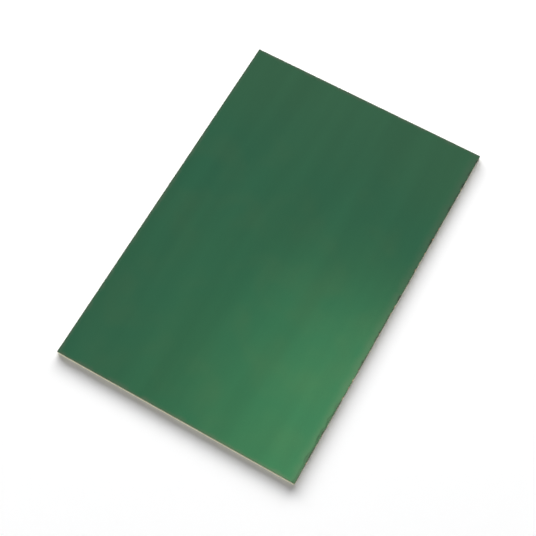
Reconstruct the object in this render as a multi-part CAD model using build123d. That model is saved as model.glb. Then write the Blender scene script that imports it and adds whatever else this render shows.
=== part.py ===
from build123d import *
import os

# Photoresist copper clad board, in millimetres.
#
# One rigid laminated sheet lying flat. A cured glass-epoxy core carries a
# copper foil on its upper face, and the foil carries a thin coat of green
# photoresist. The layers were pressed and coated as a large panel and then
# cut to size with a shear, so they end flush at the four cut sides. The blade
# presses the upper face down a little as it enters: foil and coat stay whole
# and follow the core over that rolled margin.
#
# +X runs along the short side, +Y along the long side and +Z out of the
# coated face. The origin is the centre of the underside.

# Outline of the cut sheet.
board_width = 100.0
board_length = 150.0
corner_radius = 0.25

# Layers, from the underside up.
core_thickness = 1.565
foil_thickness = 0.035
coat_thickness = 0.010

# Cut edges: the roll that the shear leaves along the upper face, and the
# bevel that a file leaves along the underside.
roll_width = 0.30
roll_depth = 0.08
underside_bevel = 0.10

# Heights of the faces where one layer ends and the next begins.
core_top = core_thickness
foil_top = core_top + foil_thickness
coat_top = foil_top + coat_thickness


def rolled_section(span, top):
    """Section across the sheet from z = 0 to `top`, its two upper edges rolled down."""
    side = span / 2
    shoulder = side - roll_width
    lip = top - roll_depth
    right_roll = TangentArc((shoulder, top), (side, lip), tangent=(1, 0))
    walls_and_base = Polyline((side, lip), (side, 0), (-side, 0), (-side, lip))
    left_roll = TangentArc((-shoulder, top), (-side, lip), tangent=(-1, 0))
    flat_top = Line((-shoulder, top), (shoulder, top))
    return make_face([right_roll, walls_and_base, left_roll, flat_top])


def rolled_sheet(top):
    """Everything of the board below height `top`, as one solid."""
    outline = extrude(RectangleRounded(board_width, board_length, corner_radius), top)
    across = Plane.XZ * rolled_section(board_width, top)
    along = Plane.YZ * rolled_section(board_length, top)
    rolled_long_sides = extrude(across, board_length / 2, both=True)
    rolled_short_sides = extrude(along, board_width / 2, both=True)
    return outline & rolled_long_sides & rolled_short_sides


def laminate_core():
    """Cured glass-epoxy sheet, bevelled along its underside."""
    core = rolled_sheet(core_top)
    underside = core.faces().sort_by(Axis.Z)[0]
    return chamfer(underside.edges(), underside_bevel)


def copper_foil():
    """Foil bonded over the whole upper face of the core."""
    return rolled_sheet(foil_top) - rolled_sheet(core_top)


def photoresist_coat():
    """Dried coat over the whole foil, ready for the artwork film."""
    return rolled_sheet(coat_top) - rolled_sheet(foil_top)


layers = {
    "laminate_core": laminate_core(),
    "copper_foil": copper_foil(),
    "photoresist_coat": photoresist_coat(),
}

os.makedirs("parts", exist_ok=True)
for node, solid in layers.items():
    export_step(solid, f"parts/{node}.step")
    box = solid.bounding_box()
    print(f"{node}: {len(solid.solids())} solid, {solid.volume:.2f} mm3, "
          f"z {box.min.Z:.3f} to {box.max.Z:.3f}")
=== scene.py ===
"""Looks for a photoresist copper clad board: a sheared sheet of glass-epoxy laminate
with copper foil on its upper face and a green light-sensitive coat over the foil."""

import logging
import math
import random
from dataclasses import dataclass, field
from enum import Enum

import bpy
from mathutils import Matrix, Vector


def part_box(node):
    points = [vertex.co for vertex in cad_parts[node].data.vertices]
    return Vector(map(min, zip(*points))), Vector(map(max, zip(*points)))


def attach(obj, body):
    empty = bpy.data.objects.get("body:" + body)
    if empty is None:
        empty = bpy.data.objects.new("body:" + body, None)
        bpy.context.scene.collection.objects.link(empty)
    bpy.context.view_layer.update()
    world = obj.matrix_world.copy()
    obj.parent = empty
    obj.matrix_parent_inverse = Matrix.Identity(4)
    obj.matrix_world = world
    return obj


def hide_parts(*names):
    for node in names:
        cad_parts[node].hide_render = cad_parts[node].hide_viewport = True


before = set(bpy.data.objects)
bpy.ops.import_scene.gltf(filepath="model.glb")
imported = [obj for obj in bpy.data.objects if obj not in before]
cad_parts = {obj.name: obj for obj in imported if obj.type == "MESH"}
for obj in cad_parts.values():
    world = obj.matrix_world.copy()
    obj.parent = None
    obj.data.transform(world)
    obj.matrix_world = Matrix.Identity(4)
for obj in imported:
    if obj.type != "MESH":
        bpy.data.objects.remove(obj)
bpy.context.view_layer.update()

LOG = logging.getLogger("board")
MM = 0.001

Colour = tuple[float, float, float]
Triple = tuple[float, float, float]


# --------------------------------------------------------------------------- choices


class Side(Enum):
    """The four cut sides, each as the axis it faces along and the way it faces."""

    LEFT = ("X", -1)
    RIGHT = ("X", 1)
    FRONT = ("Y", -1)
    BACK = ("Y", 1)

    @property
    def axis(self) -> str:
        """Letter of the axis that the side faces along."""
        return self.value[0]

    @property
    def sign(self) -> int:
        """1 where the side faces up its axis, -1 where it faces down."""
        return self.value[1]

    @property
    def index(self) -> int:
        """Place of the side's axis in a coordinate: 0 for X, 1 for Y."""
        return "XY".index(self.axis)


class Step(Enum):
    """Steps of arithmetic that the finishes use."""

    ADD = "ADD"
    MULTIPLY = "MULTIPLY"
    ABSOLUTE = "ABSOLUTE"
    MAXIMUM = "MAXIMUM"
    SINE = "SINE"


class Blend(Enum):
    """Ways to lay one colour over another."""

    MIX = "MIX"
    MULTIPLY = "MULTIPLY"


# --------------------------------------------------------------------------- node writing


class Recipe:
    """A material's node tree, written by short calls that each return a socket."""

    def __init__(self, name: str) -> None:
        """Starts a material with one Principled surface.

        Args:
            name: the material's name.
        """
        self.material = bpy.data.materials.new(name)
        self.material.use_nodes = True
        self.nodes = self.material.node_tree.nodes
        self.links = self.material.node_tree.links
        self.surface = self.nodes["Principled BSDF"]
        self.output = self.nodes["Material Output"]

    def add(self, kind: str, **settings: object) -> bpy.types.Node:
        """Adds one node.

        Args:
            kind: the node's type name.
            **settings: properties to set on it.

        Returns:
            The new node.
        """
        node = self.nodes.new(kind)
        for name, value in settings.items():
            setattr(node, name, value)
        return node

    def feed(self, socket: bpy.types.NodeSocket, value: object) -> None:
        """Links a socket into another, or sets a plain value on it.

        Args:
            socket: the input to fill.
            value: an output socket, a number or a colour.
        """
        if isinstance(value, bpy.types.NodeSocket):
            self.links.new(value, socket)
        elif isinstance(value, tuple) and len(value) == 3 and socket.type == "RGBA":
            socket.default_value = (*value, 1.0)
        else:
            socket.default_value = value

    def place(self) -> bpy.types.NodeSocket:
        """Object coordinates, in metres from the board's own origin."""
        return self.add("ShaderNodeTexCoord").outputs["Object"]

    def stretched(self, place: bpy.types.NodeSocket, scale: Triple) -> bpy.types.NodeSocket:
        """Coordinates scaled by a different factor along each axis.

        Args:
            place: the coordinates.
            scale: the three factors.

        Returns:
            The scaled coordinates.
        """
        mapping = self.add("ShaderNodeMapping")
        self.feed(mapping.inputs["Vector"], place)
        mapping.inputs["Scale"].default_value = scale
        return mapping.outputs["Vector"]

    def apart(self, place: bpy.types.NodeSocket) -> list[bpy.types.NodeSocket]:
        """The X, Y and Z of some coordinates."""
        split = self.add("ShaderNodeSeparateXYZ")
        self.feed(split.inputs["Vector"], place)
        return list(split.outputs)

    def sum(self, step: Step, first: object, second: object = 0.0) -> bpy.types.NodeSocket:
        """One step of arithmetic.

        Args:
            step: what to do.
            first: a socket or a number.
            second: a socket or a number.

        Returns:
            The result.
        """
        node = self.add("ShaderNodeMath", operation=step.value)
        self.feed(node.inputs[0], first)
        self.feed(node.inputs[1], second)
        return node.outputs[0]

    def noise(self, place: bpy.types.NodeSocket, grain: float, detail: float = 2.0) -> bpy.types.NodeSocket:
        """Even noise about 0.5.

        Args:
            place: the coordinates.
            grain: the size of a blotch, in metres.
            detail: how many finer layers lie on it.

        Returns:
            The noise, from 0 to 1.
        """
        node = self.add("ShaderNodeTexNoise")
        self.feed(node.inputs["Vector"], place)
        node.inputs["Scale"].default_value = 1.0 / grain
        node.inputs["Detail"].default_value = detail
        return node.outputs["Fac"]

    def span(self, value: object, low: float, high: float, start: float = 0.0, end: float = 1.0,
             smooth: bool = True) -> bpy.types.NodeSocket:
        """Maps a range of values onto another, clamped at both ends.

        Args:
            value: what to map.
            low: value that gives `start`.
            high: value that gives `end`.
            start: result at and beyond `low`.
            end: result at and beyond `high`.
            smooth: ease in and out in place of a straight ramp.

        Returns:
            The mapped value.
        """
        kind = "SMOOTHSTEP" if smooth else "LINEAR"
        node = self.add("ShaderNodeMapRange", interpolation_type=kind)
        self.feed(node.inputs["Value"], value)
        for name, number in (("From Min", low), ("From Max", high), ("To Min", start), ("To Max", end)):
            node.inputs[name].default_value = number
        return node.outputs["Result"]

    def paint(self, blend: Blend, amount: object, under: object, over: object) -> bpy.types.NodeSocket:
        """Lays one colour over another.

        Args:
            blend: how.
            amount: how much, from 0 to 1.
            under: the colour below.
            over: the colour on top.

        Returns:
            The mixed colour.
        """
        node = self.add("ShaderNodeMix", data_type="RGBA", blend_type=blend.value)
        self.feed(node.inputs[0], amount)
        self.feed(node.inputs[6], under)
        self.feed(node.inputs[7], over)
        return node.outputs[2]

    def relief(self, height: object, depth: float, strength: float = 1.0,
               below: bpy.types.NodeSocket | None = None) -> bpy.types.NodeSocket:
        """Turns heights into surface relief.

        Args:
            height: a socket from 0 to 1.
            depth: how deep that range is, in metres.
            strength: how much of it shows.
            below: relief to add this one to.

        Returns:
            The normal.
        """
        node = self.add("ShaderNodeBump")
        self.feed(node.inputs["Height"], height)
        node.inputs["Distance"].default_value = depth
        node.inputs["Strength"].default_value = strength
        if below is not None:
            self.feed(node.inputs["Normal"], below)
        return node.outputs["Normal"]

    def surface_is(self, **sockets: object) -> bpy.types.Material:
        """Fills the Principled surface's sockets.

        Args:
            **sockets: value by socket name, with _ for each space.

        Returns:
            The finished material.
        """
        for name, value in sockets.items():
            self.feed(self.surface.inputs[name.replace("_", " ")], value)
        return self.material


# --------------------------------------------------------------------------- finishes


@dataclass(frozen=True)
class CoatFinish:
    """Satin green photoresist: the copper's light comes back through it.

    The long margins are a touch paler, where the coat runs thin, and the rolled
    rim is darker, with a darker band just in from the right side. A thin dark line
    further in on the right, towards the front, is painted shade of a small facet.
    """

    half_width: float
    half_length: float
    green: Colour = (0.024, 0.104, 0.053)
    olive: Colour = (0.035, 0.107, 0.054)
    teal: Colour = (0.019, 0.101, 0.055)
    thin: Colour = (0.056, 0.110, 0.066)
    rim: Colour = (0.062, 0.050, 0.030)
    right_dark_band: Colour = (0.026, 0.038, 0.029)
    right_band_width: float = 0.60 * MM
    edge_tint: Colour = (0.50, 0.82, 0.60)
    metallic: float = 0.80
    roughness: float = 0.20
    painted_facet_shade: Colour = (0.016, 0.040, 0.024)
    facet_shade_inset: float = 0.85 * MM
    dust: Colour = (0.17, 0.22, 0.18)
    dust_spacing: float = 4.5 * MM
    thin_margin: float = 1.7 * MM
    thin_right: float = 4.0 * MM
    rim_width: float = 0.34 * MM

    def near_side(self, recipe: Recipe, along: bpy.types.NodeSocket, half: float,
                  reach: float) -> bpy.types.NodeSocket:
        """How near a point is to either side across one axis: 0 beyond `reach`, 1 at the side."""
        away = recipe.sum(Step.ABSOLUTE, along)
        return recipe.span(away, half - reach, half)

    def make(self) -> bpy.types.Material:
        """Writes the material.

        Returns:
            The coat's material.
        """
        recipe = Recipe("green_photoresist")
        place = recipe.place()
        across, along, _ = recipe.apart(place)

        drift = recipe.span(recipe.noise(place, 42 * MM, 1.0), 0.32, 0.68)
        drained = recipe.span(along, 0.25 * self.half_length, self.half_length, 0.0, 0.6)
        cloud = recipe.span(recipe.noise(place, 16 * MM, 2.0), 0.40, 0.75)
        colour = recipe.paint(Blend.MIX, recipe.sum(Step.MULTIPLY, drift, 0.45), self.green, self.teal)
        browned = recipe.sum(Step.MAXIMUM, drained, recipe.sum(Step.MULTIPLY, cloud, 0.5))
        colour = recipe.paint(Blend.MIX, browned, colour, self.olive)

        grain = recipe.noise(place, 0.55 * MM, 3.0)
        brushed = recipe.noise(recipe.stretched(place, (1.0, 0.02, 1.0)), 0.30 * MM, 2.0)
        run = recipe.noise(recipe.stretched(place, (1.0, 0.09, 1.0)), 9 * MM, 1.0)
        level = recipe.sum(Step.ADD, recipe.span(grain, 0.25, 0.75, 0.945, 1.005, smooth=False),
                           recipe.span(brushed, 0.25, 0.75, -0.01, 0.035, smooth=False))
        level = recipe.sum(Step.ADD, level, recipe.span(run, 0.25, 0.75, -0.045, 0.055))
        level_colour = recipe.add("ShaderNodeCombineColor")
        for channel in level_colour.inputs[:3]:
            recipe.feed(channel, level)
        colour = recipe.paint(Blend.MULTIPLY, 1.0, colour, level_colour.outputs[0])

        wander = recipe.span(recipe.noise(place, 3.0 * MM, 2.0), 0.3, 0.7, -0.4 * MM, 0.4 * MM)
        inner = recipe.sum(Step.ADD, across, wander)
        endways = recipe.sum(Step.ADD, along, wander)
        all_round = recipe.sum(Step.MAXIMUM,
                               self.near_side(recipe, inner, self.half_width, self.thin_margin),
                               self.near_side(recipe, endways, self.half_length, self.thin_margin))
        on_right = recipe.span(inner, self.half_width - self.thin_right, self.half_width, 0.0, 0.75)
        colour = recipe.paint(Blend.MIX, recipe.sum(Step.MAXIMUM, all_round, on_right), colour, self.thin)

        # The colour is darker along the rolled rim, more in some patches than in others.
        edge = recipe.sum(Step.MAXIMUM,
                          self.near_side(recipe, across, self.half_width, self.rim_width),
                          self.near_side(recipe, along, self.half_length, self.rim_width))
        rim_strength = recipe.span(recipe.noise(place, 1.6 * MM, 3.0), 0.3, 0.6, 0.45, 1.0)
        colour = recipe.paint(Blend.MIX, recipe.sum(Step.MULTIPLY, edge, rim_strength), colour, self.rim)
        # The colour is darker in a band just in from the right side, in patches.
        right_band_mask = recipe.span(inner, self.half_width - self.right_band_width,
                             self.half_width - 0.25 * self.right_band_width)
        patches = recipe.span(recipe.noise(place, 5.0 * MM, 3.0), 0.35, 0.60, 0.35, 0.95)
        right_band_amount = recipe.sum(Step.MULTIPLY, right_band_mask, patches)
        colour = recipe.paint(Blend.MIX, right_band_amount, colour, self.right_dark_band)

        # Painted shade: a thin dark line a little in from the right side, over its front part, stands for
        # the shade of a small facet there.
        facet_shade_line = recipe.sum(Step.ADD, inner, self.facet_shade_inset - self.half_width)
        facet_shade_reach = recipe.span(along, -0.62 * self.half_length, -0.50 * self.half_length, 1.0, 0.0)
        facet_shade_mask = recipe.span(recipe.sum(Step.ABSOLUTE, facet_shade_line), 0.10 * MM, 0.26 * MM, 0.75, 0.0)
        colour = recipe.paint(Blend.MIX, recipe.sum(Step.MULTIPLY, facet_shade_reach, facet_shade_mask), colour, self.painted_facet_shade)

        dust_cells = recipe.add("ShaderNodeTexVoronoi", feature="F1")
        recipe.feed(dust_cells.inputs["Vector"], place)
        dust_cells.inputs["Scale"].default_value = 1.0 / self.dust_spacing
        speck = recipe.span(dust_cells.outputs["Distance"], 0.015, 0.035, 1.0, 0.0)
        colour = recipe.paint(Blend.MIX, recipe.sum(Step.MULTIPLY, speck, 0.35), colour, self.dust)

        satin = recipe.span(recipe.noise(place, 25.0 * MM, 1.0), 0.2, 0.8,
                            self.roughness - 0.01, self.roughness + 0.01)
        peel = recipe.relief(recipe.noise(place, 0.9 * MM, 2.0), 0.0025 * MM)
        return recipe.surface_is(Base_Color=colour, Metallic=self.metallic, Roughness=satin, Normal=peel,
                                 Coat_Weight=0.10, Coat_Roughness=0.22,
                                 Specular_Tint=self.edge_tint)


@dataclass(frozen=True)
class CopperFinish:
    """Bright copper where the shear has cut the foil, with brown tarnish in patches."""

    bright: Colour = (0.83, 0.40, 0.25)
    tarnish: Colour = (0.36, 0.15, 0.09)
    roughness: float = 0.34

    def make(self) -> bpy.types.Material:
        """Writes the material.

        Returns:
            The foil's material.
        """
        recipe = Recipe("copper")
        place = recipe.place()
        patches = recipe.span(recipe.noise(place, 2.2 * MM, 4.0), 0.42, 0.68)
        drag = recipe.noise(recipe.stretched(place, (1.0, 1.0, 0.05)), 0.05 * MM, 2.0)
        colour = recipe.paint(Blend.MIX, recipe.sum(Step.MULTIPLY, patches, 0.7), self.bright, self.tarnish)
        rough = recipe.span(drag, 0.3, 0.7, self.roughness - 0.08, self.roughness + 0.12)
        return recipe.surface_is(Base_Color=colour, Metallic=1.0, Roughness=rough,
                                 Normal=recipe.relief(drag, 0.004 * MM))


@dataclass(frozen=True)
class CutSideFinish:
    """Sheared glass cloth and epoxy: cream, with the plies as fine lines and fibre ends between them."""

    core_height: float
    plies: int = 8
    cream: Colour = (0.765, 0.760, 0.560)
    fibre: Colour = (0.875, 0.870, 0.730)
    resin: Colour = (0.540, 0.500, 0.300)
    stained: Colour = (0.620, 0.550, 0.360)
    yarn_pitch: float = 0.62 * MM

    def make(self) -> bpy.types.Material:
        """Writes the material.

        Returns:
            The core's cut sides.
        """
        recipe = Recipe("glass_epoxy_side")
        place = recipe.place()
        across, along, height = recipe.apart(place)
        ply = self.core_height / self.plies

        sway = recipe.span(recipe.noise(place, 1.4 * MM, 2.0), 0.3, 0.7,
                           -0.22 * ply, 0.22 * ply, smooth=False)
        ply_turn = recipe.sum(Step.MULTIPLY, recipe.sum(Step.ADD, height, sway), 2 * math.pi / ply)
        seam = recipe.span(recipe.sum(Step.SINE, ply_turn), 0.55, 1.0)
        run = recipe.sum(Step.ADD, across, along)
        yarn = recipe.sum(Step.SINE, recipe.sum(Step.MULTIPLY, run, 2 * math.pi / self.yarn_pitch))
        layer = recipe.sum(Step.SINE, recipe.sum(Step.MULTIPLY, ply_turn, 0.5))
        bundle = recipe.span(recipe.sum(Step.MULTIPLY, yarn, layer), -0.2, 0.9)
        upright = recipe.stretched(place, (1.0, 1.0, 0.35))
        torn = recipe.span(recipe.noise(upright, 0.10 * MM, 4.0), 0.35, 0.7)

        colour = recipe.paint(Blend.MIX, recipe.sum(Step.MULTIPLY, bundle, 0.45), self.cream, self.fibre)
        colour = recipe.paint(Blend.MIX, recipe.sum(Step.MULTIPLY, torn, 0.35), colour, self.fibre)
        colour = recipe.paint(Blend.MIX, recipe.sum(Step.MULTIPLY, seam, 0.40), colour, self.resin)
        stain = recipe.span(recipe.noise(place, 7.0 * MM, 3.0), 0.45, 0.7)
        colour = recipe.paint(Blend.MIX, recipe.sum(Step.MULTIPLY, stain, 0.18), colour, self.stained)

        weave = recipe.relief(bundle, 0.03 * MM, 0.6)
        fray = recipe.relief(torn, 0.02 * MM, 0.7, below=weave)
        return recipe.surface_is(Base_Color=colour, Roughness=0.72, Normal=fray, Specular_IOR_Level=0.35)


@dataclass(frozen=True)
class BareFaceFinish:
    """Bare laminate: a resin-rich face with the glass cloth showing through it.

    The copper behind it shows through the sheet a little, so it is warmer than the cut sides.
    """

    warp_pitch: float = 0.78 * MM
    weft_pitch: float = 0.58 * MM
    straw: Colour = (0.560, 0.475, 0.250)
    pale: Colour = (0.690, 0.620, 0.370)
    deep: Colour = (0.430, 0.335, 0.155)

    def make(self) -> bpy.types.Material:
        """Writes the material.

        Returns:
            The core's underside.
        """
        recipe = Recipe("glass_epoxy_face")
        place = recipe.place()
        wobble = recipe.add("ShaderNodeTexNoise")
        recipe.feed(wobble.inputs["Vector"], place)
        wobble.inputs["Scale"].default_value = 1.0 / (9 * MM)
        shift = recipe.add("ShaderNodeVectorMath", operation="SCALE")
        recipe.feed(shift.inputs[0], wobble.outputs["Color"])
        shift.inputs["Scale"].default_value = 0.5 * MM
        swayed = recipe.add("ShaderNodeVectorMath", operation="ADD")
        recipe.feed(swayed.inputs[0], place)
        recipe.feed(swayed.inputs[1], shift.outputs[0])
        across, along, _ = recipe.apart(swayed.outputs[0])

        warp = recipe.sum(Step.SINE, recipe.sum(Step.MULTIPLY, across, math.pi / self.warp_pitch))
        weft = recipe.sum(Step.SINE, recipe.sum(Step.MULTIPLY, along, math.pi / self.weft_pitch))
        over = recipe.span(recipe.sum(Step.MULTIPLY, warp, weft), -0.6, 0.6)
        gaps = recipe.sum(Step.MAXIMUM, recipe.sum(Step.ABSOLUTE, warp), recipe.sum(Step.ABSOLUTE, weft))
        knuckle = recipe.span(gaps, 0.2, 0.95)

        drift = recipe.span(recipe.noise(place, 28 * MM, 2.0), 0.35, 0.65)
        colour = recipe.paint(Blend.MIX, recipe.sum(Step.MULTIPLY, drift, 0.30), self.straw, self.pale)
        colour = recipe.paint(Blend.MIX, recipe.sum(Step.MULTIPLY, over, 0.26), colour, self.pale)
        colour = recipe.paint(Blend.MIX, recipe.span(knuckle, 0.0, 1.0, 0.30, 0.0), colour, self.deep)
        drawn_out = recipe.stretched(place, (1.0, 0.06, 1.0))
        slub = recipe.span(recipe.noise(drawn_out, 0.7 * MM, 2.0), 0.55, 0.75)
        colour = recipe.paint(Blend.MIX, recipe.sum(Step.MULTIPLY, slub, 0.20), colour, self.pale)

        scuff = recipe.noise(recipe.stretched(place, (1.0, 0.10, 1.0)), 0.9 * MM, 5.0)
        rough = recipe.span(scuff, 0.55, 0.75, 0.30, 0.48)
        cloth = recipe.relief(over, 0.012 * MM, 0.8)
        return recipe.surface_is(Base_Color=colour, Roughness=rough, Normal=cloth,
                                 Coat_Weight=0.25, Coat_Roughness=0.2)


# --------------------------------------------------------------------------- the sheet


def deselect() -> None:
    """Leaves nothing selected, in object mode."""
    if bpy.context.mode != "OBJECT":
        bpy.ops.object.mode_set(mode="OBJECT")
    bpy.ops.object.select_all(action="DESELECT")


def take(piece: bpy.types.Object) -> None:
    """Makes one piece the only one selected, and active.

    Args:
        piece: the object to work on.
    """
    deselect()
    piece.select_set(True)
    bpy.context.view_layer.objects.active = piece


def apply_all(piece: bpy.types.Object) -> None:
    """Applies a piece's modifiers in order.

    Args:
        piece: the object that carries them.
    """
    take(piece)
    for modifier in list(piece.modifiers):
        bpy.ops.object.modifier_apply(modifier=modifier.name)


@dataclass(frozen=True)
class Shear:
    """What the shear does to every layer at the four cut sides."""

    half_width: float
    half_length: float
    corner_radius: float = 0.25 * MM
    corner_steps: int = 3
    roll_width: float = 0.30 * MM
    roll_depth: float = 0.08 * MM
    roll_steps: int = 4
    tooth: float = 0.28 * MM
    support: float = 0.55 * MM
    ragged: dict[Side, float] = field(default_factory=lambda: {
        Side.LEFT: 0.035 * MM, Side.RIGHT: 0.150 * MM, Side.FRONT: 0.035 * MM, Side.BACK: 0.035 * MM})

    def roll_drop(self, inset: float) -> float:
        """How far the upper face has dropped at a distance in from the side.

        Args:
            inset: distance in from the cut side.

        Returns:
            The drop below the flat face.
        """
        radius = (self.roll_width ** 2 + self.roll_depth ** 2) / (2 * self.roll_depth)
        run = max(self.roll_width - inset, 0.0)
        return radius - math.sqrt(radius ** 2 - run ** 2)

    def roll_insets(self) -> list[float]:
        """Distances in from the side of the loops over the roll, from the flat face outwards."""
        return [self.roll_width * (1 - step / self.roll_steps) for step in range(self.roll_steps + 1)]


@dataclass(frozen=True)
class Loop:
    """One loop of edges round the sheet: how far in from the cut sides, and how high."""

    inset: float
    height: float


@dataclass
class SheetLayer:
    """One layer of the board, from its upper face down over the cut sides to its lower face."""

    name: str
    node: str
    slot: str
    shear: Shear
    loops: list[Loop]
    chip_scale: float
    piece: bpy.types.Object | None = None

    def model(self) -> bpy.types.Object:
        """Models the layer: outline, loops, caps, ragged cut sides.

        Returns:
            The layer's object, at the origin with its place in its mesh.
        """
        self.start_outline()
        for before, after in zip(self.loops, self.loops[1:]):
            self.extrude_loop(before, after)
        self.close_faces()
        self.roughen_sides()
        return self.piece

    def start_outline(self) -> None:
        """Lays the first loop as a plane with rounded corners, emptied and cut into short edges."""
        first = self.loops[0]
        deselect()
        bpy.ops.mesh.primitive_plane_add(size=2.0, location=(0, 0, first.height))
        self.piece = bpy.context.active_object
        self.piece.name = self.name
        self.piece.data.name = self.name
        half = (self.shear.half_width - first.inset, self.shear.half_length - first.inset)
        bpy.ops.transform.resize(value=(*half, 1))
        bpy.ops.object.transform_apply(location=True, rotation=True, scale=True)
        bpy.ops.object.mode_set(mode="EDIT")
        bpy.ops.mesh.select_mode(type="EDGE")
        bpy.ops.mesh.select_all(action="SELECT")
        bpy.ops.mesh.bevel(offset=self.shear.corner_radius, segments=self.shear.corner_steps,
                           affect="VERTICES")
        bpy.ops.mesh.select_all(action="SELECT")
        bpy.ops.mesh.delete(type="ONLY_FACE")
        for span in (2 * self.shear.half_width, 2 * self.shear.half_length):
            self.cut_long_edges(span)
        bpy.ops.mesh.select_all(action="SELECT")

    def cut_long_edges(self, span: float) -> None:
        """Cuts the edges about as long as `span` into teeth.

        Args:
            span: length of the side, in metres.
        """
        coarse = 20
        fine = round(span / self.shear.tooth / coarse)
        for cuts, length in ((coarse - 1, span), (fine - 1, span / coarse)):
            self.select_edges_near(length)
            bpy.ops.mesh.subdivide(number_cuts=cuts)

    def select_edges_near(self, length: float) -> None:
        """Selects the edges within 5% of a length.

        Args:
            length: the length, in metres.
        """
        bpy.ops.object.mode_set(mode="OBJECT")
        mesh = self.piece.data
        for edge in mesh.edges:
            start, end = (mesh.vertices[i].co for i in edge.vertices)
            edge.select = abs((end - start).length - length) < 0.05 * length
        for vertex in mesh.vertices:
            vertex.select = False
        bpy.ops.object.mode_set(mode="EDIT")

    def extrude_loop(self, before: Loop, after: Loop) -> None:
        """Extrudes the selected loop to the next one.

        Args:
            before: where the loop is.
            after: where it goes.
        """
        wide = (self.shear.half_width - after.inset) / (self.shear.half_width - before.inset)
        long = (self.shear.half_length - after.inset) / (self.shear.half_length - before.inset)
        bpy.ops.mesh.extrude_edges_move()
        bpy.ops.transform.resize(value=(wide, long, 1), center_override=(0, 0, before.height))
        bpy.ops.transform.translate(value=(0, 0, after.height - before.height))

    def close_faces(self) -> None:
        """Closes the upper and lower faces and turns every face outwards."""
        bpy.ops.mesh.select_all(action="SELECT")
        bpy.ops.mesh.fill_holes(sides=0)
        bpy.ops.mesh.select_all(action="SELECT")
        bpy.ops.mesh.normals_make_consistent(inside=False)
        bpy.ops.object.mode_set(mode="OBJECT")

    def reach(self, side: Side, place: Vector) -> float:
        """How much a point follows the raggedness of one side.

        Args:
            side: the cut side.
            place: the point.

        Returns:
            1 at the side, falling to 0 where the face has gone flat.
        """
        half = (self.shear.half_width, self.shear.half_length)[side.index]
        inset = half - place[side.index] * side.sign
        return min(max(1 - inset / self.shear.support, 0.0), 1.0)

    def roughen_sides(self) -> None:
        """Pushes each cut side in by uneven amounts, the same for every layer."""
        for side in Side:
            group = self.piece.vertex_groups.new(name=f"{side.name.lower()}_side")
            for vertex in self.piece.data.vertices:
                weight = self.reach(side, vertex.co)
                if weight > 0:
                    group.add([vertex.index], weight, "REPLACE")
            for grain, share in ((2.6 * MM, 0.65), (0.45 * MM, 0.35)):
                texture = bpy.data.textures.new(f"{side.name}_{grain}", type="CLOUDS")
                texture.noise_scale = grain
                texture.noise_depth = 2
                push = self.piece.modifiers.new("ragged", "DISPLACE")
                push.texture = texture
                push.texture_coords = "LOCAL"
                push.direction = side.axis
                push.vertex_group = group.name
                push.mid_level = 0.0
                push.strength = -side.sign * self.shear.ragged[side] * share
        apply_all(self.piece)
        self.piece.vertex_groups.clear()


@dataclass(frozen=True)
class Chip:
    """One chip out of the upper edge of a cut side."""

    side: Side
    place: float
    length: float
    bite: float
    depth: float


@dataclass
class Chips:
    """Chips along the cut sides: many and larger on the side where the blade was worn."""

    shear: Shear
    core_top: float
    seed: int = 21
    clear_of_corner: float = 2.0 * MM
    counts: tuple[tuple[Side, int, float], ...] = (
        (Side.RIGHT, 36, 1.0), (Side.FRONT, 7, 0.45), (Side.LEFT, 6, 0.4), (Side.BACK, 5, 0.4))

    def listed(self) -> list[Chip]:
        """Scatters the chips, each in a stretch of its own so that no two meet.

        Returns:
            Every chip, the same each time.
        """
        draw = random.Random(self.seed)
        chips = []
        for side, count, largest in self.counts:
            run = (self.shear.half_length, self.shear.half_width)[side.index] - self.clear_of_corner
            for slot in range(count):
                size = largest * draw.uniform(0.35, 1.0)
                chips.append(Chip(
                    side=side,
                    place=run * (2 * (slot + draw.uniform(0.3, 0.7)) / count - 1),
                    length=size * draw.uniform(0.8, 2.2) * MM,
                    bite=size * draw.uniform(0.18, 0.34) * MM,
                    depth=size * draw.uniform(0.10, 0.30) * MM,
                ))
        return chips

    def cutter(self, scale: float) -> bpy.types.Object:
        """Models one lens-shaped cutter a chip and joins them.

        Args:
            scale: how much of each chip's length and bite to take.

        Returns:
            The joined cutters.
        """
        deselect()
        made = []
        for chip in self.listed():
            half = (self.shear.half_width, self.shear.half_length)[chip.side.index]
            centre = [chip.place, chip.place, self.core_top + 0.10 * MM]
            centre[chip.side.index] = chip.side.sign * (half + 0.02 * MM)
            bpy.ops.mesh.primitive_ico_sphere_add(subdivisions=2, radius=1.0, location=centre)
            lens = bpy.context.active_object
            size = [chip.length / 2 * scale] * 2 + [chip.depth + 0.10 * MM]
            size[chip.side.index] = chip.bite * scale + 0.02 * MM
            bpy.ops.transform.resize(value=size)
            made.append(lens)
        for lens in made:
            lens.select_set(True)
        bpy.ops.object.join()
        bpy.ops.object.transform_apply(location=True, rotation=True, scale=True)
        cutter = bpy.context.active_object
        cutter.name = "chip_cutter"
        return cutter

    def cut(self, layer: SheetLayer) -> None:
        """Takes the chips out of one layer.

        Args:
            layer: the layer to chip.
        """
        cutter = self.cutter(layer.chip_scale)
        take(layer.piece)
        trim = layer.piece.modifiers.new("chips", "BOOLEAN")
        trim.operation = "DIFFERENCE"
        trim.solver = "EXACT"
        trim.object = cutter
        apply_all(layer.piece)
        bpy.data.objects.remove(cutter, do_unlink=True)


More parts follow.
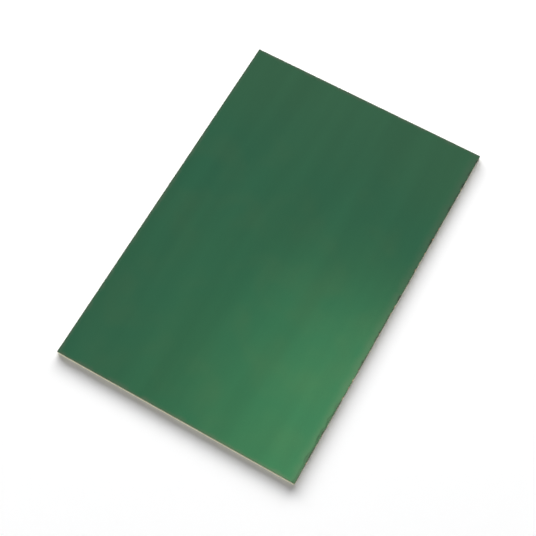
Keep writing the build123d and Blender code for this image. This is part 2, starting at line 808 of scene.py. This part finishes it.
@dataclass
class Board:
    """The board: core, foil and coat, each sheared flush with the others."""

    shear: Shear
    underside: float
    core_top: float
    foil_top: float
    coat_top: float
    plies: int = 8
    bevel: float = 0.10 * MM

    @classmethod
    def from_frame(cls) -> "Board":
        """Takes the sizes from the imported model.

        Returns:
            A board of that size.
        """
        low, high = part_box("laminate_core")
        shear = Shear(half_width=(high[0] - low[0]) / 2, half_length=(high[1] - low[1]) / 2)
        tops = [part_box(node)[1][2] for node in ("laminate_core", "copper_foil", "photoresist_coat")]
        return cls(shear, low[2], *tops)

    def skin_loops(self, top: float, bottom: float) -> list[Loop]:
        """Loops of a skin that follows the roll, above and below.

        Args:
            top: height of its upper face.
            bottom: height of its lower face.

        Returns:
            The loops, from the upper face outwards, down and back in.
        """
        shear = self.shear
        over = [Loop(shear.support, top)] + [Loop(i, top - shear.roll_drop(i)) for i in shear.roll_insets()]
        under = [Loop(loop.inset, loop.height - (top - bottom)) for loop in reversed(over)]
        return over + under

    def core_loops(self) -> list[Loop]:
        """Loops of the core: roll, ply steps down the cut side, and the underside's bevel."""
        shear = self.shear
        over = [Loop(shear.support, self.core_top)]
        over += [Loop(i, self.core_top - shear.roll_drop(i)) for i in shear.roll_insets()]
        lip = over[-1].height
        foot = self.underside + self.bevel
        rows = 2 * self.plies
        side = [Loop(self.ply_groove(row), lip + (foot - lip) * row / rows) for row in range(1, rows + 1)]
        under = [Loop(self.bevel, self.underside), Loop(shear.support, self.underside)]
        return over + side + under

    def ply_groove(self, row: int) -> float:
        """How far a row of the cut side stands in: resin between plies breaks back a little.

        Args:
            row: row number from the upper edge.

        Returns:
            The distance in from the side.
        """
        return 0.018 * MM if row % 2 else 0.0

    def build(self) -> list[SheetLayer]:
        """Models the three layers and chips them.

        Returns:
            The layers.
        """
        layers = [
            SheetLayer("core_sheet", "laminate_core", "glass_epoxy", self.shear, self.core_loops(), 0.55),
            SheetLayer("foil_sheet", "copper_foil", "copper", self.shear,
                       self.skin_loops(self.foil_top, self.core_top), 0.85),
            SheetLayer("coat_sheet", "photoresist_coat", "green_photoresist", self.shear,
                       self.skin_loops(self.coat_top, self.foil_top), 1.0),
        ]
        chips = Chips(self.shear, self.core_top)
        for layer in layers:
            layer.model()
            chips.cut(layer)
        return layers

    def dress(self, layers: list[SheetLayer]) -> None:
        """Gives each layer its finish, its shading and its place in the frame.

        Args:
            layers: the modelled layers.
        """
        finishes = {
            "core_sheet": [CutSideFinish(self.core_top - self.underside).make(), BareFaceFinish().make()],
            "foil_sheet": [CopperFinish().make()],
            "coat_sheet": [CoatFinish(self.shear.half_width, self.shear.half_length).make()],
        }
        for layer in layers:
            for material in finishes[layer.name]:
                layer.piece.data.materials.append(material)
            if layer.name == "core_sheet":
                self.mark_underside(layer.piece)
            take(layer.piece)
            bpy.ops.object.shade_smooth_by_angle(angle=math.radians(28))
            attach(layer.piece, "root")
            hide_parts(layer.node)
            LOG.info("%s: %d faces", layer.name, len(layer.piece.data.polygons))

    def mark_underside(self, core: bpy.types.Object) -> None:
        """Gives the core's level faces the bare-face finish.

        Args:
            core: the core's object, with the side finish first and the face finish second.
        """
        for face in core.data.polygons:
            if abs(face.normal.z) > 0.95:
                face.material_index = 1


# --------------------------------------------------------------------------- the studio


@dataclass(frozen=True)
class Lamp:
    """A rectangular lamp: where it hangs, where it points, and how bright its face is."""

    name: str
    place: Triple
    aim: Triple
    width: float
    height: float
    radiance: float
    tint: Colour = (1.0, 1.0, 1.0)
    lights_matt: bool = True
    shows_in_gloss: bool = False

    def hang(self) -> None:
        """Adds the lamp to the scene."""
        data = bpy.data.lights.new(self.name, type="AREA")
        data.shape = "RECTANGLE"
        data.size = self.width
        data.size_y = self.height
        data.energy = self.radiance * math.pi * self.width * self.height
        data.color = self.tint
        lamp = bpy.data.objects.new(self.name, data)
        bpy.context.scene.collection.objects.link(lamp)
        lamp.location = self.place
        lamp.rotation_mode = "QUATERNION"
        lamp.rotation_quaternion = (Vector(self.aim) - Vector(self.place)).to_track_quat("-Z", "Y")
        lamp.visible_camera = False
        lamp.visible_diffuse = self.lights_matt
        lamp.visible_glossy = self.shows_in_gloss


@dataclass(frozen=True)
class View:
    """The camera: its place, what it looks at and its lens."""

    place: Triple = (0.09272, -0.16915, 0.43861)
    aim: Triple = (0.00066, -0.00708, 0.0)
    lens: float = 84.42

    def set_up(self) -> None:
        """Adds the camera and makes it the scene's own."""
        data = bpy.data.cameras.new("camera")
        data.lens = self.lens
        data.sensor_width = 36.0
        data.clip_start = 0.01
        data.clip_end = 50.0
        camera = bpy.data.objects.new("camera", data)
        bpy.context.scene.collection.objects.link(camera)
        camera.location = self.place
        camera.rotation_mode = "QUATERNION"
        camera.rotation_quaternion = (Vector(self.aim) - Vector(self.place)).to_track_quat("-Z", "Y")
        bpy.context.scene.camera = camera


@dataclass
class Studio:
    """A white floor, a low window from behind on the left, a fill and a softbox overhead."""

    board: Board
    floor_half: float = 3.0
    gap: float = 0.00001
    overlap: float = 0.2 * MM
    floor_white: float = 0.86
    ambient_low: float = 0.28
    ambient_high: float = 0.17
    ambient_below: float = 0.90
    card_steps: tuple[tuple[float, float, float, Colour], ...] = (
        (-0.213, 0.752, 0.3, (0.65, 1.0, 0.50)), (-0.126, 0.750, 0.5, (0.80, 1.0, 0.58)),
        (-0.056, 0.748, 0.95, (1.0, 1.0, 0.76)))
    card_right: float = 0.255
    card_front: float = -0.255
    card_back: float = 0.277

    def set_up(self) -> None:
        """Adds floor, world, lamps and camera, and the plain view transform."""
        bpy.context.scene.view_settings.view_transform = "Standard"
        self.lay_floor()
        self.light_world()
        for lamp in self.lamps():
            lamp.hang()
        View().set_up()

    def lamps(self) -> list[Lamp]:
        """The lamps.

        Returns:
            A wide low window in two parts behind on the left, a low fill in front, and the softbox.
        """
        window_foot = Lamp("window_foot", (-1.544, 2.471, 0.713), (0, 0, 0), 5.0, 0.585, 28.5)
        window_head = Lamp("window_head", (-1.260, 2.371, 1.339), (0, 0, 0), 4.0, 0.99, 5.4)
        skylight = Lamp("skylight", (-0.943, 2.020, 2.007), (0, 0, 0), 3.0, 0.85, 1.6)
        fill = Lamp("fill", (0.55, -2.94, 0.236), (0, 0, 0), 2.4, 0.40, 13.0)
        return [window_foot, window_head, skylight, fill] + [self.card(*step) for step in self.card_steps]

    def card(self, left: float, height: float, radiance: float, tint: Colour) -> Lamp:
        """One of the stacked cards of the softbox, which shows in the coat alone.

        Args:
            left: where its left edge hangs.
            height: how high it hangs.
            radiance: what it adds to the others.
            tint: its colour.

        Returns:
            The card.
        """
        middle = ((left + self.card_right) / 2, (self.card_front + self.card_back) / 2)
        return Lamp(f"card_{height}", (*middle, height), (*middle, 0.0), self.card_right - left,
                    self.card_back - self.card_front, radiance, tint, lights_matt=False,
                    shows_in_gloss=True)

    def spare(self, piece: bpy.types.Object) -> None:
        """Keeps the foot of the window off a piece whose pale sides face it and would bleach.

        Args:
            piece: the piece to leave out.
        """
        left_out = bpy.data.collections.new("spared")
        left_out.objects.link(piece)
        left_out.collection_objects[0].light_linking.link_state = "EXCLUDE"
        bpy.data.objects["window_foot"].light_linking.receiver_collection = left_out

    def lay_floor(self) -> None:
        """Lays a pale floor with an opening hidden under the board, so that its underside sees light."""
        deselect()
        level = self.board.underside - self.gap
        bpy.ops.mesh.primitive_plane_add(size=2 * self.floor_half, location=(0, 0, level))
        floor = bpy.context.active_object
        floor.name = "floor"
        bpy.ops.object.transform_apply(location=True, rotation=True, scale=True)
        inner = self.board.shear.half_width - self.overlap
        bpy.ops.object.mode_set(mode="EDIT")
        bpy.ops.mesh.select_mode(type="FACE")
        bpy.ops.mesh.select_all(action="SELECT")
        bpy.ops.mesh.inset(thickness=self.floor_half - inner)
        long = (self.board.shear.half_length - self.overlap) / inner
        bpy.ops.transform.resize(value=(1, long, 1), center_override=(0, 0, 0))
        bpy.ops.mesh.delete(type="FACE")
        bpy.ops.object.mode_set(mode="OBJECT")
        floor.data.materials.append(self.floor_finish())

    def floor_finish(self) -> bpy.types.Material:
        """Matt white that a camera below looks through.

        Returns:
            The floor's material.
        """
        recipe = Recipe("white_floor")
        rays = recipe.add("ShaderNodeLightPath")
        from_below = recipe.add("ShaderNodeNewGeometry").outputs["Backfacing"]
        shown = rays.outputs["Is Camera Ray"]
        for kind in ("Is Glossy Ray", "Is Transmission Ray"):
            shown = recipe.sum(Step.MAXIMUM, shown, rays.outputs[kind])
        seen = recipe.add("ShaderNodeBsdfDiffuse")
        seen.inputs["Color"].default_value = (1.0, 1.0, 1.0, 1)
        unseen = recipe.add("ShaderNodeBsdfDiffuse")
        unseen.inputs["Color"].default_value = (*([self.floor_white] * 3), 1)
        by_eye = recipe.add("ShaderNodeMixShader")
        recipe.feed(by_eye.inputs[0], shown)
        recipe.feed(by_eye.inputs[1], unseen.outputs[0])
        recipe.feed(by_eye.inputs[2], seen.outputs[0])
        clear = recipe.add("ShaderNodeBsdfTransparent")
        both = recipe.add("ShaderNodeMixShader")
        recipe.feed(both.inputs[0], from_below)
        recipe.feed(both.inputs[1], by_eye.outputs[0])
        recipe.feed(both.inputs[2], clear.outputs[0])
        recipe.feed(recipe.output.inputs["Surface"], both.outputs[0])
        recipe.nodes.remove(recipe.surface)
        return recipe.material

    def light_world(self) -> None:
        """A room that is paler near the horizon than overhead, and white to the camera."""
        world = bpy.data.worlds.new("studio")
        bpy.context.scene.world = world
        world.use_nodes = True
        nodes, links = world.node_tree.nodes, world.node_tree.links
        nodes.clear()
        sky = nodes.new("ShaderNodeTexCoord")
        split = nodes.new("ShaderNodeSeparateXYZ")
        links.new(sky.outputs["Generated"], split.inputs["Vector"])
        climb = nodes.new("ShaderNodeMapRange")
        climb.interpolation_type = "SMOOTHSTEP"
        links.new(split.outputs["Z"], climb.inputs["Value"])
        climb.inputs["From Min"].default_value = 0.10
        climb.inputs["From Max"].default_value = 0.55
        climb.inputs["To Min"].default_value = self.ambient_low
        climb.inputs["To Max"].default_value = self.ambient_high
        below = nodes.new("ShaderNodeMath")
        below.operation = "LESS_THAN"
        links.new(split.outputs["Z"], below.inputs[0])
        below.inputs[1].default_value = -0.01
        level = nodes.new("ShaderNodeMix")
        links.new(below.outputs[0], level.inputs[0])
        links.new(climb.outputs["Result"], level.inputs[2])
        level.inputs[3].default_value = self.ambient_below
        room = nodes.new("ShaderNodeBackground")
        room.inputs["Color"].default_value = (1.0, 1.0, 1.01, 1)
        links.new(level.outputs[0], room.inputs["Strength"])
        white = nodes.new("ShaderNodeBackground")
        white.inputs["Color"].default_value = (1, 1, 1, 1)
        rays = nodes.new("ShaderNodeLightPath")
        pick = nodes.new("ShaderNodeMixShader")
        shown = rays.outputs["Is Camera Ray"]
        for kind in ("Is Glossy Ray", "Is Transmission Ray"):
            either = nodes.new("ShaderNodeMath")
            either.operation = "MAXIMUM"
            links.new(shown, either.inputs[0])
            links.new(rays.outputs[kind], either.inputs[1])
            shown = either.outputs[0]
        links.new(shown, pick.inputs[0])
        links.new(room.outputs[0], pick.inputs[1])
        links.new(white.outputs[0], pick.inputs[2])
        out = nodes.new("ShaderNodeOutputWorld")
        links.new(pick.outputs[0], out.inputs["Surface"])


# --------------------------------------------------------------------------- the order of work


def main() -> None:
    """Builds the board and the studio round it."""
    logging.basicConfig(level=logging.INFO, format="%(name)s %(message)s")
    board = Board.from_frame()
    studio = Studio(board)
    studio.set_up()
    layers = board.build()
    board.dress(layers)
    studio.spare(layers[0].piece)


if __name__ == "__main__":
    main()
